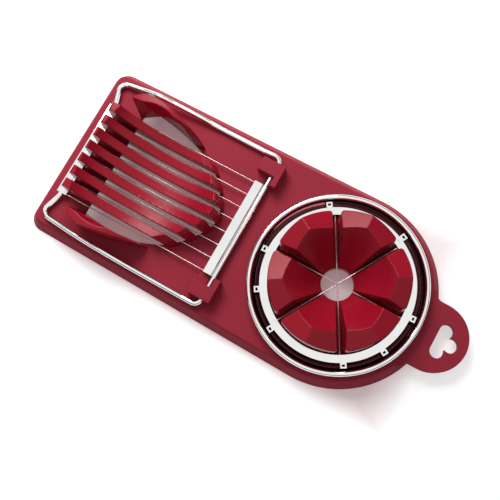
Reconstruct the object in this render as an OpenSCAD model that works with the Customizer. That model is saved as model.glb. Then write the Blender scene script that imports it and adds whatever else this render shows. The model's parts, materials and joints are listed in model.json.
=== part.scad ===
// Double egg slicer: a tray with a ribbed egg cradle under a hinged wire frame at one end,
// and a six-wedge post under a lift-off cutting ring at the other.
// X runs along the tray towards the hanging tab, Y across it, Z up. Z = 0 is the table.

/* [Tray] */
// Length from the cradle end to the tip of the hanging tab
overall_len = 208; // [200:1:216]
// Width across the round end, at the foot of the skirt
round_w = 92.4; // [91:0.1:96]
// Width across the cradle end, at the foot of the skirt
front_w = 88.8; // [87:0.1:92]
// Height of the tray's top face above the table
tray_h = 6.6; // [6:0.1:7]
// Wall thickness of the tray
tray_wall = 2.2; // [1.8:0.1:2.6]
// How far the skirt leans in from its foot to the top face
skirt_lean = 3.6; // [2.5:0.1:4]
// Radius of the two front corners
corner_r = 7; // [4:0.5:10]
// Radius of the hanging tab
tab_r = 15.9; // [15:0.1:16.5]
// Thickness of the hanging tab
tab_t = 3; // [2.4:0.1:3.6]

/* [Egg cradle] */
// Number of slicing wires; there is one rib fewer
wire_count = 8; // [8:1:8]
// Distance between neighbouring wires
wire_pitch = 6.8; // [6.7:0.05:6.9]
// Width of one rib at its top
rib_w = 4.2; // [3.8:0.1:4.4]
// Width of one rib at its bottom edge
rib_foot_w = 2.6; // [2:0.1:3.2]
// Height of the ribs at their tall front ends
rib_top = 25.8; // [24:0.1:26]
// Height of the rim at the back of the cradle
rim_top = 22.2; // [21:0.1:23]
// Radius of the hollow that the egg lies in, along the tray
bowl_r = 46; // [44:0.5:48]
// Radius of the same hollow across the tray
bowl_side_r = 100; // [80:5:140]
// Height of the lowest point of the hollow
bowl_bottom = 10.6; // [10.4:0.1:12]
// Thickness of the outer walls of the two flanks beside the ribs
flank_t = 2.1; // [1.8:0.1:2.4]
// Height of the flanks
flank_z = 24.2; // [23:0.1:25]

/* [Wire frame] */
// Radius of the frame wire and the hinge rod
frame_r = 1.2; // [1.1:0.05:1.25]
// Radius of a slicing wire
wire_r = 0.25; // [0.2:0.05:0.3]
// Half the distance between the frame's two legs
leg_y = 39.2; // [38.8:0.1:39.6]
// Height of the hinge axis
hinge_z = 9.2; // [9.2:0.1:9.6]
// Radial clearance of the hinge rod in its lugs
hinge_gap = 0.08; // [0.05:0.01:0.1]

/* [Wedge cutter] */
// Radius of the wedge post
post_r = 31; // [30.5:0.1:31.2]
// Height of the crest of the wedges
crest_z = 28.7; // [28:0.1:29.5]
// Slope of the two planes on top of each wedge, in degrees
roof_pitch = 26.2; // [24:0.2:28]
// Radius of the hole through the post
post_hole_r = 7.5; // [7:0.1:8]
// Width of the slots between the wedges, at their floor
slot_w = 1.9; // [1.6:0.1:2.4]
// Radius of the upright outer corners of the wedges
wedge_corner_r = 1.8; // [1.2:0.1:2.2]
// Outer radius of the ring
ring_r = 41.2; // [41:0.1:42]
// Radius of the ring's rolled edge in cross-section
bead_r = 1.3; // [1.1:0.05:1.4]

/* [Hidden] */
$fn = 96;
eps = 0.01;
gap = 0.05;

front_x = -overall_len / 2;
tab_x = overall_len / 2 - tab_r;
ring_x = overall_len / 2 - 64;
hinge_x = ring_x - 50.5;
round_x = ring_x + 0.6;
tray_under = tray_h - tray_wall;
foot_w = 2;

// Cradle places
cradle_x = ring_x - 111;
bowl_x = ring_x - 94;
bowl_z = bowl_bottom + bowl_r;
rim_reach = 50;
rim_half_w = 34.8;
tip_reach = 26;
rib_lean_x = 2.7;
rib_lean_y = 9.5;
bevel_w = 1.6;
rib_count = wire_count - 1;
rib_back_x = ring_x - 117;
rib_tip_r = 1.8;
open_x = ring_x - 120;
open_in_x = 1.8;

// Flank places: side and nose in plan, crown and arch from the side
flank_foot_y = 26.8;
flank_lean = 9.5;
flank_wide = 34.4;
flank_side_r = 110;
flank_side_x = cradle_x - 13.1;
flank_nose_r = 10.5;
flank_nose_x = cradle_x - 4.2;
flank_nose_y = 23.5;
flank_front_x = cradle_x - 10.4;
crown_x = cradle_x + 5;
crown_front_r = 64;
crown_back_r = 21.3;
arch_x = cradle_x + 10.5;
arch_z = 6.3;
arch_r = 13.5;
inner_cone_x = cradle_x + 1;
inner_cone_y = 4.6;
inner_cone_r = 19.6;
inner_cone_flare = 0.4;

// Wire frame places
strip_front_x = hinge_x - 85.5;
strip_back_x = hinge_x - 80.6;
strip_t = 0.6;
strip_top = 10.5;
strip_drop = 2.6;
strip_half_len = wire_pitch * (wire_count - 1) / 2 + 0.6;
bar_x = strip_front_x + strip_t + frame_r;
bar_z = strip_top - strip_t - frame_r;
wire_z = 8.8;
holder_front_x = hinge_x - 5.6;
holder_top = 10.3;
rib_cut_r = hinge_x - strip_back_x - 0.25;
rib_front_x = hinge_x - rib_cut_r;
rib_tip_x = rib_front_x + 1.4;

// Hinge lug places
lug_y0 = 29.4;
lug_y1 = 36.1;
lug_arm_y0 = 24.8;
lug_top = 13;
rod_half_len = 33;

// Wedge cutter places
wedge_count = 6;
crest_r = 24.5;
roof_turn = 57.2;
roof_apex = crest_z + crest_r * tan(roof_pitch) * cos(roof_turn);
dish_foot_z = 8.4;
dish_slope = (crest_z - dish_foot_z) / (crest_r - post_hole_r);
slot_floor = 8;
slot_flare = 0.064;
post_wall = 2.2;
flange_in = 31.7;
flange_out = 35.2;
flange_top = 11.1;
sheet_t = 0.7;
ring_foot = tray_h + gap;
bead_x = ring_r - bead_r;
bead_z = 11;
ring_wire_top = flange_top - sheet_t - wire_r;
ring_wire_step = 2 * wire_r + 0.02;
ring_wire_half_len = flange_out - sheet_t - 0.1;
hook_angles = [3, 64, 124, 183, 213, 243, 302, 332];

// Points along an arc, from angle a0 to a1
function arc(c, r, a0, a1, n) =
    [for (i = [0:n]) let (a = a0 + (a1 - a0) * i / n) c + r * [cos(a), sin(a)]];

// ---------- tray ----------

// The tray's outline, moved in by the given amount
function tray_outline(inset) = concat(
    arc([round_x, 0], round_w / 2 - inset, -90, 90, 96),
    arc([front_x + corner_r, front_w / 2 - corner_r], corner_r - inset, 90, 180, 12),
    arc([front_x + corner_r, corner_r - front_w / 2], corner_r - inset, 180, 270, 12)
);

// A flat slice of the tray at height z
module tray_slice(inset, z) {
    translate([0, 0, z]) linear_extrude(eps) polygon(tray_outline(inset));
}

// Half width of the cradle's outer line at x, moved in by in_x at its end and in_y at its sides
function rim_half(x, in_x, in_y) =
    let (d = x - cradle_x, w = rim_half_w - in_y, l = rim_reach - in_x)
    d < 0 ? w * sqrt(max(0, 1 - pow(d / tip_reach, 2)))
          : w * pow(max(0, 1 - pow(d / l, 2)), 1 / 1.5);

// The same line from its pointed end to x0, on the +Y side
function rim_side(x0, in_x, in_y) =
    let (x1 = cradle_x + rim_reach - in_x, n = 44)
    [for (i = [0:n]) let (x = x1 - (x1 - x0) * pow(i / n, 1.7)) [x, rim_half(x, in_x, in_y)]];

// A side line and its mirror image as one closed outline
function both_sides(side) = concat(side, [for (i = [len(side) - 1:-1:0]) [side[i][0], -side[i][1]]]);

// Half width of the flanks' outer line at x, moved in by the given amount
function flank_half(x, inset) =
    x > flank_nose_x
        ? flank_wide - flank_side_r + sqrt(pow(flank_side_r - inset, 2) - pow(x - flank_side_x, 2))
        : flank_nose_y + sqrt(max(0, pow(flank_nose_r - inset, 2) - pow(x - flank_nose_x, 2)));

// The opening in the tray under the cradle
function cradle_opening() =
    both_sides(concat(
        [for (p = rim_side(open_x + 3, open_in_x, flank_t)) [p[0], min(p[1], flank_half(p[0], flank_t))]],
        [[open_x, flank_foot_y]]
    ));

module hang_hole() {
    for (p = [[0, 4.8], [0, -4.8]]) translate([tab_x + 4.2 + p[0], p[1], 0]) cylinder(h = 20, r = 3.2);
    translate([tab_x + 8.5, 0, 0]) cylinder(h = 20, r = 3.2);
    translate([tab_x + 1, -4.8, 0]) cube([3.2, 9.6, 20]);
    translate([tab_x + 3, -3, 0]) cube([5, 6, 20]);
}

// The web that rounds the corner between the round end and the tab
module tab_root_fillet() {
    fillet_r = 3.5;
    edge_r = round_w / 2 - 1.6;
    fillet_y = tab_r + fillet_r;
    fillet_x = round_x + sqrt(pow(edge_r + fillet_r, 2) - pow(fillet_y, 2));
    difference() {
        translate([fillet_x - 6, tab_r - 1, 0]) cube([6, fillet_r + 1, tab_t]);
        translate([fillet_x, fillet_y, -1]) cylinder(h = tab_t + 2, r = fillet_r);
    }
}

module tab() {
    translate([0, 0, tray_h - tab_t]) {
        translate([tab_x, 0, 0]) cylinder(h = tab_t, r = tab_r);
        translate([round_x + round_w / 2 - 8, -tab_r, 0])
            cube([tab_x - round_x - round_w / 2 + 8, 2 * tab_r, tab_t]);
        tab_root_fillet();
        mirror([0, 1, 0]) tab_root_fillet();
    }
}

module tray() {
    color([0.62, 0.2, 0.27]) difference() {
        union() {
            difference() {
                hull() {
                    tray_slice(0, 0);
                    tray_slice(skirt_lean - 0.9, tray_h - 1.1);
                    tray_slice(skirt_lean, tray_h - eps);
                }
                hull() {
                    tray_slice(foot_w, -eps);
                    tray_slice(skirt_lean + foot_w, tray_under);
                }
            }
            tab();
        }
        translate([0, 0, -1]) linear_extrude(tray_h + 2) polygon(cradle_opening());
        translate([ring_x, 0, -1]) cylinder(h = tray_h + 2, r = post_r - post_wall);
        translate([0, 0, -1]) hang_hole();
    }
}

// ---------- egg cradle ----------

function wire_y(i) = (i - (wire_count - 1) / 2) * wire_pitch;

// Height of the hollow at x and y
function hollow_z(x, y) =
    let (r = bowl_r - bowl_side_r + sqrt(pow(bowl_side_r, 2) - pow(y, 2)))
    bowl_z - sqrt(pow(r, 2) - pow(x - bowl_x, 2));

// Where the ribs' outer line reaches y; k is 0 at its foot and 1 at the rim
function rim_x(y, k) =
    cradle_x + (rim_reach - rib_lean_x * k) * sqrt(1 - pow(abs(y) / (rim_half_w - rib_lean_y * k), 1.5));

// How far up the hollow meets that line at y
function rim_k(y) = min(1, (hollow_z(rim_x(y, 0.6), y) - tray_h) / (rim_top - tray_h));

// A flat slice of the cradle's outer form at height z
module mound_slice(in_x, in_y, z) {
    translate([0, 0, z]) linear_extrude(eps) polygon(both_sides(rim_side(cradle_x - 22, in_x, in_y)));
}

module rib_mound() {
    hull() {
        mound_slice(0, 0, tray_h);
        mound_slice(rib_lean_x, rib_lean_y, rim_top);
    }
}

// The hollow for the egg: a barrel whose axis runs across the tray
module egg_hollow() {
    translate([bowl_x, 0, bowl_z]) rotate([90, 0, 0]) rotate_extrude($fn = 180) intersection() {
        translate([bowl_r - bowl_side_r, 0]) circle(r = bowl_side_r, $fn = 360);
        translate([0, -40]) square([bowl_r + 1, 80]);
    }
}

// Section of a rib across the tray
function rib_section() = [
    [-rib_foot_w / 2, tray_under], [rib_foot_w / 2, tray_under], [rib_w / 2 - 0.1, tray_h + 3],
    [rib_w / 2, rib_top + 1], [-rib_w / 2, rib_top + 1], [0.1 - rib_w / 2, tray_h + 3]
];

// The tall front end of the ribs, seen from the side
function rib_front_profile() = concat(
    [[rib_front_x - 2, tray_h], [rib_back_x, tray_h], [rib_back_x, rib_top]],
    arc([rib_tip_x + rib_tip_r, rib_top - rib_tip_r], rib_tip_r, 90, 180, 8)
);

// Everything outside the path that the frame's front strip sweeps
module swing_side() {
    difference() {
        translate([rib_front_x - 10, -40, 0]) cube([16, 80, 40]);
        translate([hinge_x, 50, hinge_z]) rotate([90, 0, 0]) cylinder(h = 100, r = rib_cut_r, $fn = 180);
    }
}

// Slanting cut along the rim, at the back end of the rib at y
module rim_bevel(y) {
    k = rim_k(y);
    x = rim_x(y, k);
    turn = -atan(rim_x(y + 0.5, k) - rim_x(y - 0.5, k));
    translate([x, y, tray_h + k * (rim_top - tray_h) - bevel_w]) rotate([0, 0, turn]) rotate([0, 45, 0])
        translate([-20, -20, 0]) cube([40, 40, 20]);
}

module rib_bar(y) {
    difference() {
        translate([rib_front_x - 2, y, 0]) rotate([90, 0, 90]) linear_extrude(80) polygon(rib_section());
        rim_bevel(y);
    }
}

// The outer form of all the ribs: mound, tall front ends and what hangs in the tray's opening
module rib_form() {
    rib_mound();
    translate([0, 40, 0]) rotate([90, 0, 0]) linear_extrude(80) polygon(rib_front_profile());
    translate([0, 0, tray_under]) linear_extrude(tray_h - tray_under) polygon(cradle_opening());
}

// Outline of a flank in plan
function flank_plan() = concat(
    [for (i = [0:48]) let (x = cradle_x + 28 - i * 42 / 48) [x, flank_half(x, 0)]],
    [[cradle_x - 14, 20], [cradle_x + 28, 20]]
);

// A flank seen from the side: leaning front, low crown and rounded tail
function flank_profile() = concat(
    arc([crown_x, flank_z - crown_back_r], crown_back_r,
        asin((tray_h - flank_z + crown_back_r) / crown_back_r), 90, 24),
    arc([crown_x, flank_z - crown_front_r], crown_front_r, 91, 107, 8),
    [[flank_front_x, tray_h]]
);

// The arched space under a flank, seen from the side: round at the tail, slanting at the front
function arch_profile() = concat(
    arc([arch_x, arch_z], arch_r, 0, 135, 24),
    [[arch_x - arch_z - sqrt(2) * arch_r, 0], [arch_x + arch_r, 0]]
);

// Stands a section drawn in x and z on the +Y side
module beside_ribs() {
    translate([0, 50, 0]) rotate([90, 0, 0]) linear_extrude(30) children();
}

module flank() {
    difference() {
        intersection() {
            linear_extrude(40) polygon(flank_plan());
            beside_ribs() polygon(flank_profile());
            translate([0, flank_foot_y, tray_h]) rotate([-flank_lean, 0, 0])
                translate([-120, 0, 0]) cube([120, 20, 40]);
            translate([flank_front_x, 0, tray_h]) rotate([0, -flank_lean, 0])
                translate([0, 0, -30]) cube([80, 50, 60]);
        }
        translate([inner_cone_x, inner_cone_y, tray_h])
            cylinder(h = 30, r1 = inner_cone_r, r2 = inner_cone_r + 30 * inner_cone_flare);
        intersection() {
            linear_extrude(40) polygon(cradle_opening());
            beside_ribs() polygon(arch_profile());
        }
    }
}

module egg_cradle() {
    color([0.6, 0.07, 0.15]) {
        difference() {
            intersection() {
                for (i = [0:rib_count - 1]) rib_bar((i - (rib_count - 1) / 2) * wire_pitch);
                union() rib_form();
            }
            egg_hollow();
            swing_side();
        }
        flank();
        mirror([0, 1, 0]) flank();
    }
}

// ---------- wedge post ----------

// Section of the post, from the hole outwards, with the cone of the dish on top
function post_profile() = [
    [post_hole_r, tray_under], [post_r - post_wall - gap, tray_under],
    [post_r - post_wall - gap, tray_h], [post_r, tray_h],
    [post_r, crest_z + 2], [crest_r + 2 / dish_slope, crest_z + 2], [post_hole_r, dish_foot_z]
];

// Section of the hollow inside each wedge, open at the bottom
function cavity_profile() = [
    [post_hole_r + 2.6, 0], [post_r - 2 * post_wall, 0], [post_r - 2 * post_wall, crest_z - 8.2],
    [crest_r - 2, crest_z - 6.4], [post_hole_r + 2.6, dish_foot_z - 0.9]
];

// Section of a slot across its run: narrow at the floor, wider at the top
function slot_section() = [
    [-slot_w / 2, slot_floor], [slot_w / 2, slot_floor],
    [slot_w / 2 + 32 * slot_flare, slot_floor + 32], [-slot_w / 2 - 32 * slot_flare, slot_floor + 32]
];

// What lies below one of the planes on top of a wedge
module below_roof(turn) {
    translate([0, 0, roof_apex]) rotate([0, 0, turn]) rotate([0, roof_pitch, 0])
        translate([-60, -60, -80]) cube([120, 120, 80]);
}

// One sixth of the post, under two planes that meet in a ridge along its middle
module wedge() {
    x = 45 * cos(29.9);
    y = 45 * sin(29.9);
    intersection() {
        linear_extrude(40) polygon([[0, 0], [x, -y], [x, y]]);
        below_roof(roof_turn);
        below_roof(-roof_turn);
    }
}

// Takes off the sharp outer corner on one side of a slot
module slot_corner() {
    r = wedge_corner_r;
    y = slot_w / 2 + r - 0.05;
    x = sqrt(pow(post_r - r, 2) - pow(y + 0.5, 2)) + 0.1;
    translate([x, y, slot_floor]) rotate([-atan(slot_flare), 0, 0]) difference() {
        translate([0, -r - slot_w / 2, 0.5]) cube([r + 2, r + slot_w / 2, 30]);
        cylinder(h = 32, r = r, $fn = 48);
    }
}

module wedge_post() {
    color([0.6, 0.07, 0.15]) translate([ring_x, 0, 0]) difference() {
        intersection() {
            rotate_extrude() polygon(post_profile());
            union() {
                cylinder(h = slot_floor, r = post_r + 1);
                for (i = [0:wedge_count - 1]) rotate((i + 0.5) * 360 / wedge_count) wedge();
            }
        }
        for (i = [0:wedge_count / 2 - 1]) rotate(i * 360 / wedge_count)
            translate([-post_r - 2, 0, 0]) rotate([90, 0, 90]) linear_extrude(2 * post_r + 4)
                polygon(slot_section());
        for (i = [0:wedge_count - 1]) rotate(i * 360 / wedge_count) {
            slot_corner();
            mirror([0, 1, 0]) slot_corner();
        }
        difference() {
            rotate_extrude() polygon(cavity_profile());
            for (i = [0:wedge_count / 2 - 1]) rotate(i * 360 / wedge_count)
                translate([-post_r, -slot_w / 2 - post_wall - 0.6, -1])
                    cube([2 * post_r, slot_w + 2 * post_wall + 1.2, 40]);
        }
    }
}

// ---------- hinge lugs ----------

module hinge_lug() {
    difference() {
        union() {
            translate([hinge_x - 7.1, lug_y0, tray_h]) cube([11.1, lug_y1 - lug_y0, lug_top - tray_h]);
            translate([hinge_x + 1.7, lug_arm_y0, tray_h]) cube([2.7, lug_y1 - lug_arm_y0, lug_top - tray_h]);
            translate([hinge_x - 7.1, lug_arm_y0 - 0.4, tray_h]) cube([5.4, lug_y0 - lug_arm_y0 + 1, 1.4]);
        }
        translate([hinge_x, lug_y1 + 1, hinge_z]) rotate([90, 0, 0])
            cylinder(h = lug_y1 - lug_y0 + 2, r = frame_r + hinge_gap);
    }
}

module hinge_lug_far() {
    color([0.62, 0.2, 0.27]) hinge_lug();
}

module hinge_lug_near() {
    color([0.62, 0.2, 0.27]) mirror([0, 1, 0]) hinge_lug();
}

// ---------- slicer frame ----------

// Bends of a leg: distance in front of the hinge, distance in from leg_y, height
leg_bends = [
    [8.5, 0, 8.3], [28.5, 0, 8], [38.5, 0, 8.6], [48.5, 0.1, 9.7], [58.5, 0.3, 10.5],
    [64.5, 0.6, 11.6], [66.5, 0.7, 11.7], [70.5, 0.9, 10.8], [74.5, 1.2, 9.9]
];

// Centre line of one side of the frame, from the hinge rod to the middle of the front bar
function frame_side() = concat(
    [[hinge_x, rod_half_len, hinge_z]],
    [for (p = arc([hinge_x - 3.2, leg_y - 3.2], 3.2, 0, 90, 6)) [p[0], p[1], hinge_z]],
    [for (b = leg_bends) [hinge_x - b[0], leg_y - b[1], b[2]]],
    [for (p = arc([strip_front_x + 3.1, leg_y - 5.8], 4, 100, 175, 6)) [p[0], p[1], bar_z - 0.4]],
    [[bar_x, strip_half_len + 1.2, bar_z], [bar_x, strip_half_len, bar_z]]
);

function mirror_y(p) = [p[0], -p[1], p[2]];
function reversed(a) = [for (i = [len(a) - 1:-1:0]) a[i]];
function unit(v) = v / norm(v);

// A round wire along the points, as one closed surface with the given number of sides
module swept_wire(path, r, sides) {
    n = len(path);
    function direction(i) = unit(path[min(i + 1, n - 1)] - path[max(i - 1, 0)]);
    rings = [for (i = [0:n - 1])
        let (d = direction(i), u = unit(cross(d, [0, 0, 1])), v = cross(u, d))
        for (k = [0:sides - 1])
            path[i] + r * (cos(k * 360 / sides) * u + sin(k * 360 / sides) * v)];
    walls = [for (i = [0:n - 2]) for (k = [0:sides - 1])
        let (a = i * sides + k, b = i * sides + (k + 1) % sides)
        [a, a + sides, b + sides, b]];
    ends = [[for (k = [0:sides - 1]) k], [for (k = [sides - 1:-1:0]) (n - 1) * sides + k]];
    polyhedron(points = rings, faces = concat(walls, ends), convexity = 10);
}

module frame_wire() {
    path = concat(frame_side(), reversed([for (p = frame_side()) mirror_y(p)]));
    color([0.8, 0.8, 0.8]) swept_wire(path, frame_r, 16);
}

module hinge_rod() {
    color([0.8, 0.8, 0.8]) translate([hinge_x, rod_half_len, hinge_z])
        rotate([90, 0, 0]) cylinder(h = 2 * rod_half_len, r = frame_r);
}

// Stands a section drawn in x and z along Y, centred on the tray's middle line
module along_y(half_len) {
    translate([0, half_len, 0]) rotate([90, 0, 0]) linear_extrude(2 * half_len) children();
}

// Holes for the slicing wires through the lip of a holder
module wire_holes(x) {
    for (i = [0:wire_count - 1])
        translate([x - 1, wire_y(i), wire_z]) rotate([0, 90, 0]) cylinder(h = 2, r = wire_r + 0.02);
}

module wire_holder_front() {
    color([0.85, 0.85, 0.85]) difference() {
        along_y(strip_half_len) difference() {
            translate([strip_front_x, strip_top - strip_drop])
                square([strip_back_x - strip_front_x, strip_drop]);
            translate([strip_front_x + strip_t, 0])
                square([strip_back_x - strip_front_x - 2 * strip_t, strip_top - strip_t]);
            // groove pressed along the top
            translate([strip_back_x - 1, strip_top - 0.25]) square([0.5, 1]);
        }
        wire_holes(strip_back_x - strip_t / 2);
    }
}

// Section of the hinge-side holder: a top leaf, a front lip and a hook round the rod
function holder_profile() = concat(
    [[holder_front_x, wire_z - 1.2], [holder_front_x, holder_top], [hinge_x - 1.6, holder_top]],
    arc([hinge_x, hinge_z], frame_r, 145, 300, 16),
    arc([hinge_x, hinge_z], frame_r + strip_t, 300, 166, 16),
    [[holder_front_x + strip_t, holder_top - strip_t], [holder_front_x + strip_t, wire_z - 1.2]]
);

module wire_holder_hinge() {
    color([0.85, 0.85, 0.85]) difference() {
        along_y(strip_half_len) polygon(holder_profile());
        wire_holes(holder_front_x + strip_t / 2);
    }
}

module slicing_wire(i) {
    x0 = strip_back_x - 1.2;
    x1 = holder_front_x + 1.2;
    color([0.85, 0.85, 0.85]) translate([x0, wire_y(i - 1), wire_z]) rotate([0, 90, 0])
        cylinder(h = x1 - x0, r = wire_r, $fn = 24);
}

// ---------- cutting ring ----------

// Section of the pressed ring: inner flange, upright wall and a floor that slopes up to the rolled edge
function ring_profile() = [
    [flange_in, flange_top - sheet_t], [flange_in, flange_top], [flange_out, flange_top],
    [flange_out + 0.25, ring_foot + sheet_t], [bead_x - 2.5, ring_foot + 1.55],
    [bead_x - 1.5, ring_foot + 2.35], [bead_x - bead_r * 0.7, bead_z - bead_r * 0.7],
    [bead_x, bead_z - bead_r + 0.1], [bead_x + 0.15, bead_z - bead_r - 0.6],
    [bead_x - 1, ring_foot + 1.75], [bead_x - 2.1, ring_foot + 0.85],
    [flange_out + 0.7, ring_foot], [flange_out - 0.45, ring_foot],
    [flange_out - sheet_t, flange_top - sheet_t]
];

module ring_channel() {
    color([0.75, 0.75, 0.75]) translate([ring_x, 0, 0])
        rotate_extrude($fn = 180) polygon(ring_profile());
}

module ring_rolled_edge() {
    color([0.85, 0.85, 0.85]) translate([ring_x, 0, bead_z])
        rotate_extrude($fn = 180) translate([bead_x, 0]) circle(r = bead_r, $fn = 48);
}

// Small open loops that hold the cutting wires at the edge of the flange
module ring_wire_hooks() {
    color([0.7, 0.7, 0.7]) translate([ring_x, 0, flange_top])
        for (a = hook_angles) rotate(a) {
            translate([flange_out - 1.6, -0.9, 0]) cube([1.7, 1.8, 0.6]);
            translate([flange_out, -1.4, 0]) cube([0.7, 2.8, 0.6]);
            translate([flange_out + 0.6, 0.7, 0]) cube([1.7, 0.7, 0.6]);
            translate([flange_out + 0.6, -1.4, 0]) cube([1.7, 0.7, 0.6]);
            translate([flange_out + 1.7, -1.4, 0]) cube([0.7, 2.8, 0.6]);
        }
}

module wedge_wire(i) {
    z = ring_wire_top - (i - 1) * ring_wire_step;
    color([0.85, 0.85, 0.85]) translate([ring_x, 0, z]) rotate((i - 1) * 360 / wedge_count)
        rotate([0, 90, 0]) cylinder(h = 2 * ring_wire_half_len, r = wire_r, center = true, $fn = 24);
}

tray();
egg_cradle();
wedge_post();
hinge_lug_near();
hinge_lug_far();
frame_wire();
hinge_rod();
wire_holder_front();
wire_holder_hinge();
slicing_wire(1);  // slicing_wire_1
slicing_wire(2);  // slicing_wire_2
slicing_wire(3);  // slicing_wire_3
slicing_wire(4);  // slicing_wire_4
slicing_wire(5);  // slicing_wire_5
slicing_wire(6);  // slicing_wire_6
slicing_wire(7);  // slicing_wire_7
slicing_wire(8);  // slicing_wire_8
ring_channel();
ring_rolled_edge();
ring_wire_hooks();
wedge_wire(1);  // wedge_wire_1
wedge_wire(2);  // wedge_wire_2
wedge_wire(3);  // wedge_wire_3
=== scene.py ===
import bpy, json
from mathutils import Matrix, Vector

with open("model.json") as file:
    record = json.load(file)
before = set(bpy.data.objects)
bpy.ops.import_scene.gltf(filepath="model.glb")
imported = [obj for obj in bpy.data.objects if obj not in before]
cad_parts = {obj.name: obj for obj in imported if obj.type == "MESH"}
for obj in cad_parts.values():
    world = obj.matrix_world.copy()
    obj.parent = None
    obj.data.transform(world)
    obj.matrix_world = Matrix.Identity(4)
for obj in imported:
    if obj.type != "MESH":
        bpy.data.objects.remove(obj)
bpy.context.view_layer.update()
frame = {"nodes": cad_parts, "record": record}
nodes = frame["nodes"]
scene = bpy.context.scene

WHITE = (1, 1, 1, 1)
# Colours between which the noise of each material wanders
TRAY_RED = (0.32, 0.026, 0.046), (0.36, 0.031, 0.052)
CRADLE_RED = (0.33, 0.004, 0.018), (0.36, 0.006, 0.022)
STEEL = (0.8, 0.8, 0.79), (0.87, 0.87, 0.86)
CUTTING_STEEL = (0.62, 0.48, 0.48), (0.72, 0.6, 0.6)
PAPER = (0.88, 0.88, 0.88), (0.91, 0.91, 0.91)
# Painted dark red reflection of the post's walls, put into the ring's channel
CHANNEL_PAINTED_REFLECTION = (0.11, 0.035, 0.04)
# The ring's centre on X, and the radii between which its channel lies, in metres
RING_X = 0.04
CHANNEL_INNER = 0.0351
CHANNEL_OUTER = 0.0388
# Half sizes of the stretch of floor under the tray that carries painted shade, in metres
PAINTED_SHADE_HALF = {"X": 0.082, "Y": 0.046}
WORLD_LIGHT = 0.36


def collect(obj):
    scene.collection.objects.link(obj)
    return obj


# ---------- node helpers ----------

def new_material(name):
    mat = bpy.data.materials.new(name)
    mat.use_nodes = True
    return mat, mat.node_tree.nodes, mat.node_tree.links, mat.node_tree.nodes["Principled BSDF"]


def noise(tree_nodes, links, scale, detail=3.0, rough=0.5, stretch=None):
    coord = tree_nodes.new("ShaderNodeTexCoord")
    tex = tree_nodes.new("ShaderNodeTexNoise")
    tex.inputs["Scale"].default_value = scale
    tex.inputs["Detail"].default_value = detail
    tex.inputs["Roughness"].default_value = rough
    if stretch:
        mapping = tree_nodes.new("ShaderNodeMapping")
        mapping.inputs["Scale"].default_value = stretch
        links.new(coord.outputs["Object"], mapping.inputs["Vector"])
        links.new(mapping.outputs["Vector"], tex.inputs["Vector"])
    else:
        links.new(coord.outputs["Object"], tex.inputs["Vector"])
    return tex.outputs["Fac"]


# Maps source from the range a to b onto low to high
def ramp(tree_nodes, links, source, low, high, a, b, clamp=True):
    node = tree_nodes.new("ShaderNodeMapRange")
    node.clamp = clamp
    node.inputs["From Min"].default_value = a
    node.inputs["From Max"].default_value = b
    node.inputs["To Min"].default_value = low
    node.inputs["To Max"].default_value = high
    links.new(source, node.inputs["Value"])
    return node.outputs["Result"]


def combine(tree_nodes, links, operation, *sources):
    node = tree_nodes.new("ShaderNodeMath")
    node.operation = operation
    for slot, source in enumerate(sources):
        links.new(source, node.inputs[slot])
    return node.outputs["Value"]


# Mixes two colours; each is a plain RGB colour or a socket
def blend_colour(tree_nodes, links, factor, a, b):
    node = tree_nodes.new("ShaderNodeMix")
    node.data_type = "RGBA"
    links.new(factor, node.inputs["Factor"])
    for name, colour in (("A", a), ("B", b)):
        if isinstance(colour, tuple):
            node.inputs[name].default_value = (*colour[:3], 1)
        else:
            links.new(colour, node.inputs[name])
    return node.outputs["Result"]


# ---------- materials ----------

def plastic(name, colours, rough, grain_scale, grain_depth, edge, shine):
    mat, nn, links, bsdf = new_material(name)
    bsdf.inputs["Specular IOR Level"].default_value = shine
    tint = noise(nn, links, 45, 4)
    tone = blend_colour(nn, links, ramp(nn, links, tint, 0, 1, 0.3, 0.7), *colours)
    links.new(tone, bsdf.inputs["Base Color"])
    grain = noise(nn, links, grain_scale, 2, 0.6)
    links.new(ramp(nn, links, tint, *rough, 0.3, 0.7), bsdf.inputs["Roughness"])
    soft = nn.new("ShaderNodeBevel")
    soft.samples = 8
    soft.inputs["Radius"].default_value = edge
    bump = nn.new("ShaderNodeBump")
    bump.inputs["Strength"].default_value = 1
    bump.inputs["Distance"].default_value = grain_depth
    links.new(grain, bump.inputs["Height"])
    links.new(soft.outputs["Normal"], bump.inputs["Normal"])
    links.new(bump.outputs["Normal"], bsdf.inputs["Normal"])
    return mat


def metal(name, colours, rough, scale, stretch=None):
    mat, nn, links, bsdf = new_material(name)
    haze = noise(nn, links, scale / 6, 3)
    tone = blend_colour(nn, links, ramp(nn, links, haze, 0, 1, 0.3, 0.7), *colours)
    links.new(tone, bsdf.inputs["Base Color"])
    bsdf.inputs["Metallic"].default_value = 1
    wear = noise(nn, links, scale, 4, 0.6, stretch)
    links.new(ramp(nn, links, wear, *rough, 0.3, 0.7), bsdf.inputs["Roughness"])
    return mat
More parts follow.
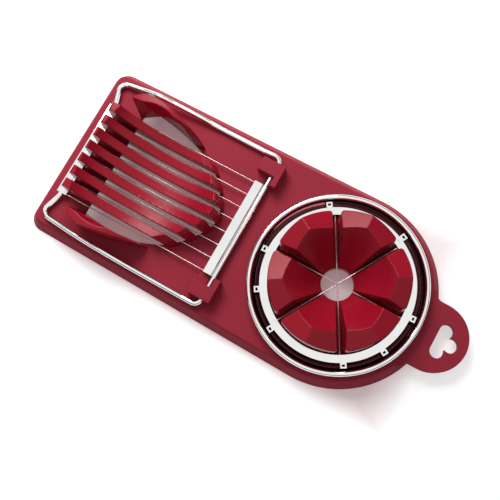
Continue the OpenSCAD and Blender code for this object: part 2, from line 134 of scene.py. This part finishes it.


# The ring's sheet: bright on its flange, with a painted dark red-brown reflection of the red post in the
# channel outside it
def channel_metal(name):
    mat = metal(name, STEEL, (0.05, 0.1), 500)
    nn, links = mat.node_tree.nodes, mat.node_tree.links
    base = nn["Principled BSDF"].inputs["Base Color"]
    coord = nn.new("ShaderNodeTexCoord")
    shift = nn.new("ShaderNodeVectorMath")
    shift.operation = "SUBTRACT"
    shift.inputs[1].default_value = (RING_X, 0, 0)
    flat = nn.new("ShaderNodeVectorMath")
    flat.operation = "MULTIPLY"
    flat.inputs[1].default_value = (1, 1, 0)
    reach = nn.new("ShaderNodeVectorMath")
    reach.operation = "LENGTH"
    links.new(coord.outputs["Object"], shift.inputs[0])
    links.new(shift.outputs["Vector"], flat.inputs[0])
    links.new(flat.outputs["Vector"], reach.inputs[0])
    radius = reach.outputs["Value"]
    begins = ramp(nn, links, radius, 0, 1, CHANNEL_INNER, CHANNEL_INNER + 0.0003)
    ends = ramp(nn, links, radius, 1, 0, CHANNEL_OUTER, CHANNEL_OUTER + 0.0005)
    within = combine(nn, links, "MULTIPLY", begins, ends)
    # Paints the post's dark red reflection into the channel's colour
    links.new(blend_colour(nn, links, within, base.links[0].from_socket, CHANNEL_PAINTED_REFLECTION), base)
    return mat


by_slot = {
    "tray": plastic("tray_plastic", TRAY_RED, (0.5, 0.58), 2600, 0.00006, 0.0005, 0.07),
    "cradle": plastic("cradle_plastic", CRADLE_RED, (0.24, 0.3), 900, 0.00001, 0.0008, 0.22),
    "polished_wire": metal("polished_wire", STEEL, (0.06, 0.12), 700),
    "polished_sheet": metal("polished_sheet", STEEL, (0.05, 0.1), 500),
    "cutting_wire": metal("cutting_wire", CUTTING_STEEL, (0.25, 0.35), 1500, (0.1, 1, 1)),
}
channel_mat = channel_metal("ring_sheet")
for sub in frame["record"]["subparts"]:
    obj = nodes[sub["node"]]
    obj.data.materials.clear()
    is_channel = sub["node"] == "ring_channel"
    obj.data.materials.append(channel_mat if is_channel else by_slot[sub["material_slot"]])
    for poly in obj.data.polygons:
        poly.use_smooth = True


# ---------- stage ----------

# The floor is pale paper; camera, glossy and transmission rays see it lifted towards white, less so and
# pinker under the tray, which is painted red-tinted shade standing in for the tray's shadow and red
# bounce light
floor_mat, nn, links, bsdf = new_material("floor_paint")
bsdf.inputs["Roughness"].default_value = 0.7
paper = blend_colour(nn, links, noise(nn, links, 900, 3), *PAPER)
links.new(paper, bsdf.inputs["Base Color"])
rays = nn.new("ShaderNodeLightPath").outputs
seen = combine(nn, links, "MAXIMUM", rays["Is Camera Ray"], rays["Is Glossy Ray"])
seen = combine(nn, links, "MAXIMUM", seen, rays["Is Transmission Ray"])
place = nn.new("ShaderNodeTexCoord")
split = nn.new("ShaderNodeSeparateXYZ")
links.new(place.outputs["Object"], split.inputs["Vector"])
sides = [ramp(nn, links, combine(nn, links, "ABSOLUTE", split.outputs[axis]), 0, 1, 0, half, clamp=False)
         for axis, half in PAINTED_SHADE_HALF.items()]
away = combine(nn, links, "MAXIMUM", *sides)
# Less lift under the tray: painted shade
lift = ramp(nn, links, away, 0.2, 0.5, 0.9, 1.1)
links.new(combine(nn, links, "MULTIPLY", seen, lift), bsdf.inputs["Emission Strength"])
# Pink emission under the tray: painted red bounce light
outside = ramp(nn, links, away, 0, 1, 0.9, 1.1)
links.new(blend_colour(nn, links, outside, (1, 0.6, 0.64), WHITE), bsdf.inputs["Emission Color"])
floor_mesh = bpy.data.meshes.new("floor")
floor_mesh.from_pydata([(-2, -2, 0), (2, -2, 0), (2, 2, 0), (-2, 2, 0)], [], [(0, 1, 2, 3)])
floor = collect(bpy.data.objects.new("floor", floor_mesh))
floor.location.z = -0.0002
floor_mesh.materials.append(floor_mat)

# The world is soft and even for the light; camera rays see it white, and glossy and transmission
# rays see it white above one dark band of walls, which gives the metal its dark lines
world = bpy.data.worlds.new("studio")
scene.world = world
world.use_nodes = True
wn, wl = world.node_tree.nodes, world.node_tree.links
wn["Background"].inputs["Color"].default_value = WHITE
wn["Background"].inputs["Strength"].default_value = WORLD_LIGHT
rays = wn.new("ShaderNodeLightPath").outputs
seen = combine(wn, wl, "MAXIMUM", rays["Is Glossy Ray"], rays["Is Transmission Ray"])
seen = combine(wn, wl, "MAXIMUM", seen, rays["Is Camera Ray"])
place = wn.new("ShaderNodeTexCoord")
split = wn.new("ShaderNodeSeparateXYZ")
wl.new(place.outputs["Generated"], split.inputs["Vector"])
height = wn.new("ShaderNodeValToRGB")
stops = height.color_ramp.elements
stops[0].position, stops[0].color = 0.0, WHITE
stops[1].position, stops[1].color = 1.0, WHITE
for where, level in ((0.04, 0.9), (0.1, 0.08), (0.5, 0.08), (0.64, 1.0)):
    stops.new(where).color = (level, level, level, 1)
wl.new(split.outputs["Z"], height.inputs["Fac"])
shown = wn.new("ShaderNodeBackground")
mixer = wn.new("ShaderNodeMixShader")
backdrop = blend_colour(wn, wl, rays["Is Camera Ray"], height.outputs["Color"], WHITE)
wl.new(backdrop, shown.inputs["Color"])
wl.new(seen, mixer.inputs["Fac"])
wl.new(wn["Background"].outputs["Background"], mixer.inputs[1])
wl.new(shown.outputs["Background"], mixer.inputs[2])
wl.new(mixer.outputs["Shader"], wn["World Output"].inputs["Surface"])

key = bpy.data.lights.new("key", "AREA")
key.shape = "RECTANGLE"
key.size, key.size_y = 0.3, 0.25
key.energy = 2.05
key_obj = collect(bpy.data.objects.new("key", key))
key_obj.location = (-0.25, 0.25, 0.34)
key_obj.rotation_euler = (-key_obj.location).to_track_quat("-Z", "Y").to_euler()

# ---------- camera ----------

cam = bpy.data.cameras.new("camera")
cam.sensor_width = 36
cam.lens = 52.25
cam_obj = collect(bpy.data.objects.new("camera", cam))
right = Vector((0.8693363, 0.49047682, -0.06071969))
down = Vector((0.47261706, -0.86096457, -0.18807741))
forward = Vector((-0.14452511, 0.13480536, -0.98027548))
turn = Matrix((right, -down, -forward)).transposed().to_4x4()
cam_obj.matrix_world = Matrix.Translation((0.045763, -0.050113, 0.334630)) @ turn
scene.camera = cam_obj

scene.view_settings.view_transform = "Standard"
